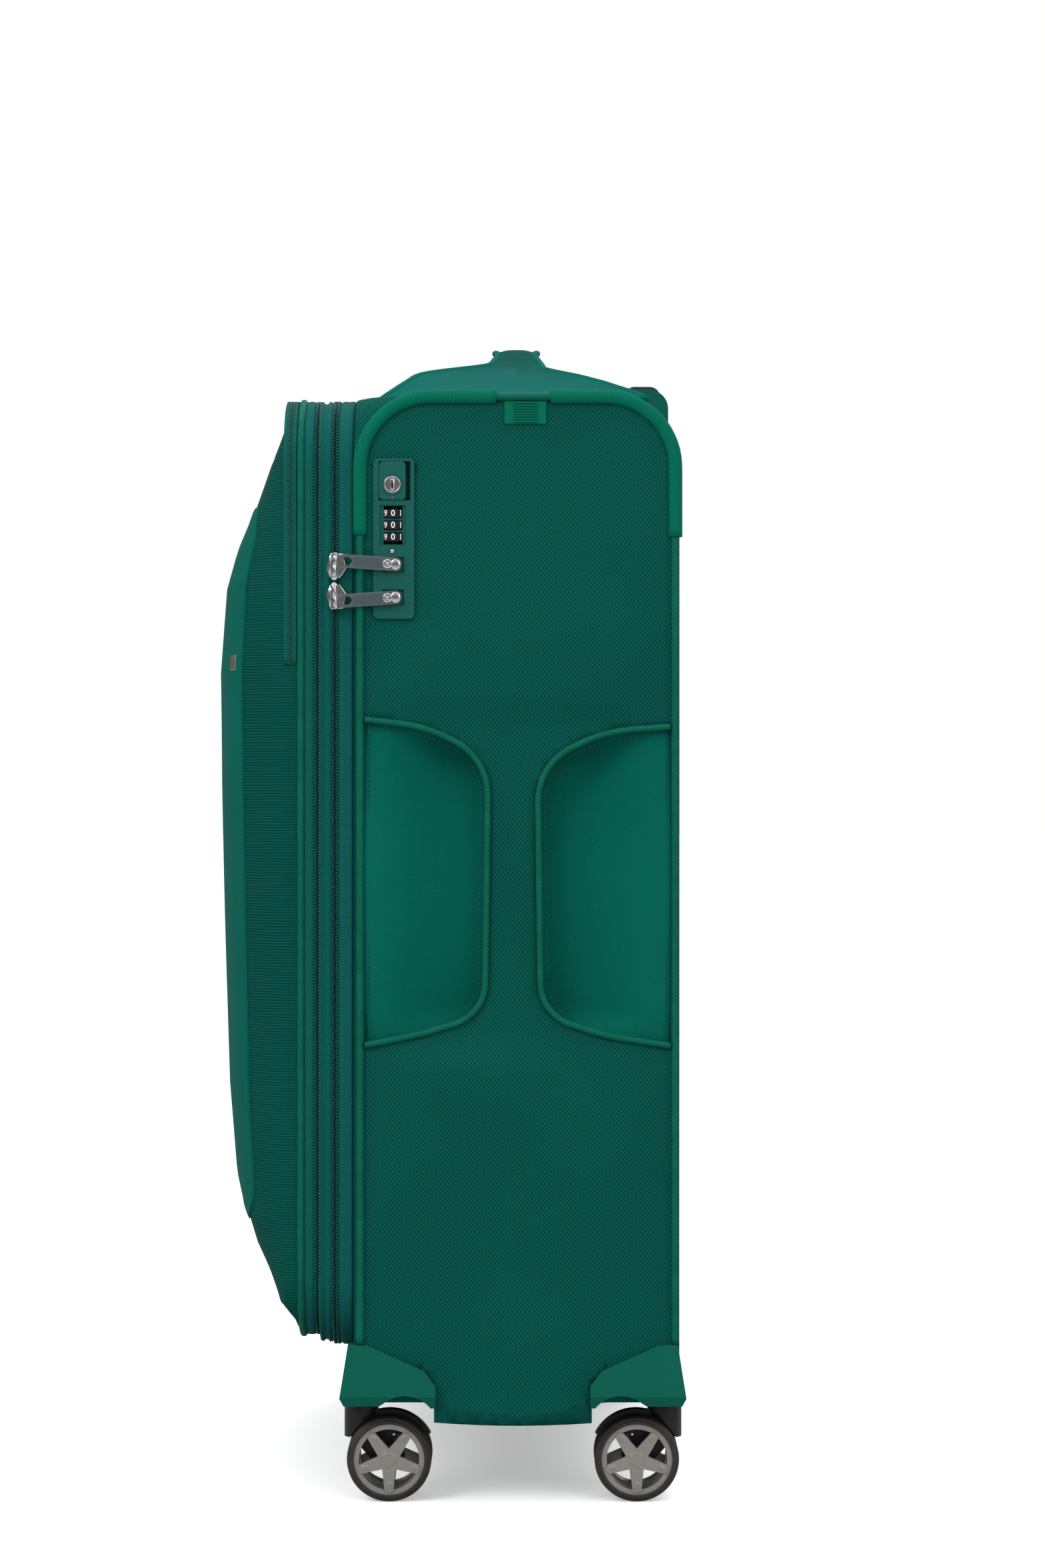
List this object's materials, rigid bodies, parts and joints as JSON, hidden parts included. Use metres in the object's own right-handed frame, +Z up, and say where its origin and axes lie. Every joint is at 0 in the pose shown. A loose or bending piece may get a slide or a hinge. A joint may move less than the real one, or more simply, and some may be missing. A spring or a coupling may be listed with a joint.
{
  "type": "soft suitcase",
  "caption": "Expandable soft-sided suitcase on double-wheel swivel casters, with zipped lid, lock, pull handle and carry handles.",
  "frame": {"origin": "on the floor under the middle of the whole suitcase", "axes": "+Z up; -Y is the front with the zipped lid, +Y the back with the pull handle; +X is the side with the lock and the carry strap"},
  "size_m": [0.45, 0.29, 0.714],
  "materials": {
    "body_fabric": "coarse basket weave polyester, foam backed",
    "smooth_fabric": "fine plain weave over padding",
    "ribbed_fabric": "fine horizontal rib",
    "overlay_fabric": "smooth padded twill",
    "handle_fabric": "smooth stretch fabric",
    "zip_tape": "herringbone tape",
    "lining_fabric": "thin printed-free lining",
    "guard_webbing": "thermoformed cover",
    "piping": "soft satin",
    "housing_plastic": "satin moulded",
    "lock_plastic": "satin moulded",
    "grip_plastic": "satin moulded",
    "black_plastic": "satin moulded",
    "rim_plastic": "metallic grey",
    "tyre": "matt thermoplastic rubber",
    "chrome": "polished",
    "badge_metal": "brushed",
    "aluminium_tube": "satin anodised",
    "steel": "plain"
  },
  "bodies": {
    "case": {"back_and_top_panel": "body_fabric", "bottom_tray": "smooth_fabric", "lock_side_panel": "body_fabric", "side_handle_recess": "smooth_fabric", "hinge_side_panel": "body_fabric", "edge_piping": "piping", "corner_guards": "guard_webbing", "wheel_housings": "housing_plastic", "housing_screws": "steel", "handle_outer_tubes": "aluminium_tube", "handle_bezel": "housing_plastic", "lock_plate": "lock_plastic", "case_zip_tape": "zip_tape", "top_handle": "handle_fabric", "case_lining": "lining_fabric", "packing_straps": "lining_fabric", "webbing_tab": "guard_webbing"},
    "lid": {"lid_bands": "zip_tape"},
    "front_section": {"front_shell": "ribbed_fabric", "front_piping": "piping", "front_overlay": "overlay_fabric", "pocket_zip": "zip_tape", "badge": "badge_metal"},
    "upper_slider_body": {"upper_slider": "chrome"},
    "upper_tab_body": {"upper_pull_tab": "chrome"},
    "lower_slider_body": {"lower_slider": "chrome"},
    "lower_tab_body": {"lower_pull_tab": "chrome"},
    "lock_button_body": {"lock_button": "lock_plastic"},
    "key_body": {"key_cylinder": "chrome"},
    "pull_middle_stage": {"handle_middle_tubes": "aluminium_tube"},
    "pull_upper_stage": {"handle_inner_tubes": "aluminium_tube", "pull_grip": "grip_plastic"},
    "grip_button_body": {"grip_button": "lock_plastic"},
    "number_wheel_body_1": {"number_wheel_1": "black_plastic"},
    "number_wheel_body_2": {"number_wheel_2": "black_plastic"},
    "number_wheel_body_3": {"number_wheel_3": "black_plastic"},
    "swivel_front_right": {"fork_front_right": "black_plastic", "axle_front_right": "steel"},
    "outer_wheel_front_right": {"outer_rim_front_right": "rim_plastic", "outer_tyre_front_right": "tyre"},
    "inner_wheel_front_right": {"inner_rim_front_right": "rim_plastic", "inner_tyre_front_right": "tyre"},
    "swivel_front_left": {"fork_front_left": "black_plastic", "axle_front_left": "steel"},
    "outer_wheel_front_left": {"outer_rim_front_left": "rim_plastic", "outer_tyre_front_left": "tyre"},
    "inner_wheel_front_left": {"inner_rim_front_left": "rim_plastic", "inner_tyre_front_left": "tyre"},
    "swivel_rear_right": {"fork_rear_right": "black_plastic", "axle_rear_right": "steel"},
    "outer_wheel_rear_right": {"outer_rim_rear_right": "rim_plastic", "outer_tyre_rear_right": "tyre"},
    "inner_wheel_rear_right": {"inner_rim_rear_right": "rim_plastic", "inner_tyre_rear_right": "tyre"},
    "swivel_rear_left": {"fork_rear_left": "black_plastic", "axle_rear_left": "steel"},
    "outer_wheel_rear_left": {"outer_rim_rear_left": "rim_plastic", "outer_tyre_rear_left": "tyre"},
    "inner_wheel_rear_left": {"inner_rim_rear_left": "rim_plastic", "inner_tyre_rear_left": "tyre"}
  },
  "joints": [
    {"name": "lid_hinge", "type": "hinge", "parent": "case", "child": "lid", "pos_m": [-0.2245, -0.0655, 0.38], "axis": [0, 0, -1], "range_deg": [0, 170]},
    {"name": "expansion_slide", "type": "slide", "parent": "lid", "child": "front_section", "axis": [0, -1, 0], "range_m": [0, 0.04]},
    {"name": "upper_slider_run", "type": "slide", "parent": "case", "child": "upper_slider_body", "axis": [0, 0, 1], "range_m": [0, 0.055]},
    {"name": "lower_slider_run", "type": "slide", "parent": "case", "child": "lower_slider_body", "axis": [0, 0, 1], "range_m": [-0.38, 0]},
    {"name": "upper_tab_lift", "type": "hinge", "parent": "upper_slider_body", "child": "upper_tab_body", "pos_m": [0.2233, -0.065, 0.5658], "axis": [0, -0.068, -0.9977], "range_deg": [0, 170]},
    {"name": "lower_tab_lift", "type": "hinge", "parent": "lower_slider_body", "child": "lower_tab_body", "pos_m": [0.2233, -0.065, 0.5412], "axis": [0, 0.068, -0.9977], "range_deg": [0, 170]},
    {"name": "lock_button_slide", "type": "slide", "parent": "case", "child": "lock_button_body", "axis": [0, 1, 0], "range_m": [0, 0.0025], "stiffness_N_per_m": 300},
    {"name": "key_turn", "type": "hinge", "parent": "lock_button_body", "child": "key_body", "pos_m": [0.219, -0.0309, 0.6113], "axis": [1, 0, 0], "range_deg": [0, 90]},
    {"name": "number_wheel_1_turn", "type": "hinge", "parent": "case", "child": "number_wheel_body_1", "pos_m": [0.2136, -0.03045, 0.5941], "axis": [0, 0, 1], "continuous": true},
    {"name": "number_wheel_2_turn", "type": "hinge", "parent": "case", "child": "number_wheel_body_2", "pos_m": [0.2136, -0.03045, 0.587], "axis": [0, 0, 1], "continuous": true},
    {"name": "number_wheel_3_turn", "type": "hinge", "parent": "case", "child": "number_wheel_body_3", "pos_m": [0.2136, -0.03045, 0.5799], "axis": [0, 0, 1], "continuous": true},
    {"name": "pull_lower_stage", "type": "slide", "parent": "case", "child": "pull_middle_stage", "axis": [0, 0, 1], "range_m": [0, 0.2]},
    {"name": "pull_upper_stage_slide", "type": "slide", "parent": "pull_middle_stage", "child": "pull_upper_stage", "axis": [0, 0, 1], "range_m": [0, 0.2]},
    {"name": "pull_button_press", "type": "slide", "parent": "pull_upper_stage", "child": "grip_button_body", "axis": [0, 0, -1], "range_m": [0, 0.003], "stiffness_N_per_m": 400},
    {"name": "swivel_turn_front_right", "type": "hinge", "parent": "case", "child": "swivel_front_right", "pos_m": [0.19, -0.0507, 0.06], "axis": [0, 0, 1], "continuous": true},
    {"name": "outer_wheel_spin_front_right", "type": "hinge", "parent": "swivel_front_right", "child": "outer_wheel_front_right", "pos_m": [0.19, -0.0334, 0.0255], "axis": [1, 0, 0], "continuous": true},
    {"name": "inner_wheel_spin_front_right", "type": "hinge", "parent": "swivel_front_right", "child": "inner_wheel_front_right", "pos_m": [0.19, -0.0334, 0.0255], "axis": [1, 0, 0], "continuous": true},
    {"name": "swivel_turn_front_left", "type": "hinge", "parent": "case", "child": "swivel_front_left", "pos_m": [-0.19, -0.0507, 0.06], "axis": [0, 0, 1], "continuous": true},
    {"name": "outer_wheel_spin_front_left", "type": "hinge", "parent": "swivel_front_left", "child": "outer_wheel_front_left", "pos_m": [-0.19, -0.0334, 0.0255], "axis": [1, 0, 0], "continuous": true},
    {"name": "inner_wheel_spin_front_left", "type": "hinge", "parent": "swivel_front_left", "child": "inner_wheel_front_left", "pos_m": [-0.19, -0.0334, 0.0255], "axis": [1, 0, 0], "continuous": true},
    {"name": "swivel_turn_rear_right", "type": "hinge", "parent": "case", "child": "swivel_rear_right", "pos_m": [0.19, 0.1332, 0.06], "axis": [0, 0, 1], "continuous": true},
    {"name": "outer_wheel_spin_rear_right", "type": "hinge", "parent": "swivel_rear_right", "child": "outer_wheel_rear_right", "pos_m": [0.19, 0.1159, 0.0255], "axis": [1, 0, 0], "continuous": true},
    {"name": "inner_wheel_spin_rear_right", "type": "hinge", "parent": "swivel_rear_right", "child": "inner_wheel_rear_right", "pos_m": [0.19, 0.1159, 0.0255], "axis": [1, 0, 0], "continuous": true},
    {"name": "swivel_turn_rear_left", "type": "hinge", "parent": "case", "child": "swivel_rear_left", "pos_m": [-0.19, 0.1332, 0.06], "axis": [0, 0, 1], "continuous": true},
    {"name": "outer_wheel_spin_rear_left", "type": "hinge", "parent": "swivel_rear_left", "child": "outer_wheel_rear_left", "pos_m": [-0.19, 0.1159, 0.0255], "axis": [1, 0, 0], "continuous": true},
    {"name": "inner_wheel_spin_rear_left", "type": "hinge", "parent": "swivel_rear_left", "child": "inner_wheel_rear_left", "pos_m": [-0.19, 0.1159, 0.0255], "axis": [1, 0, 0], "continuous": true}
  ]
}
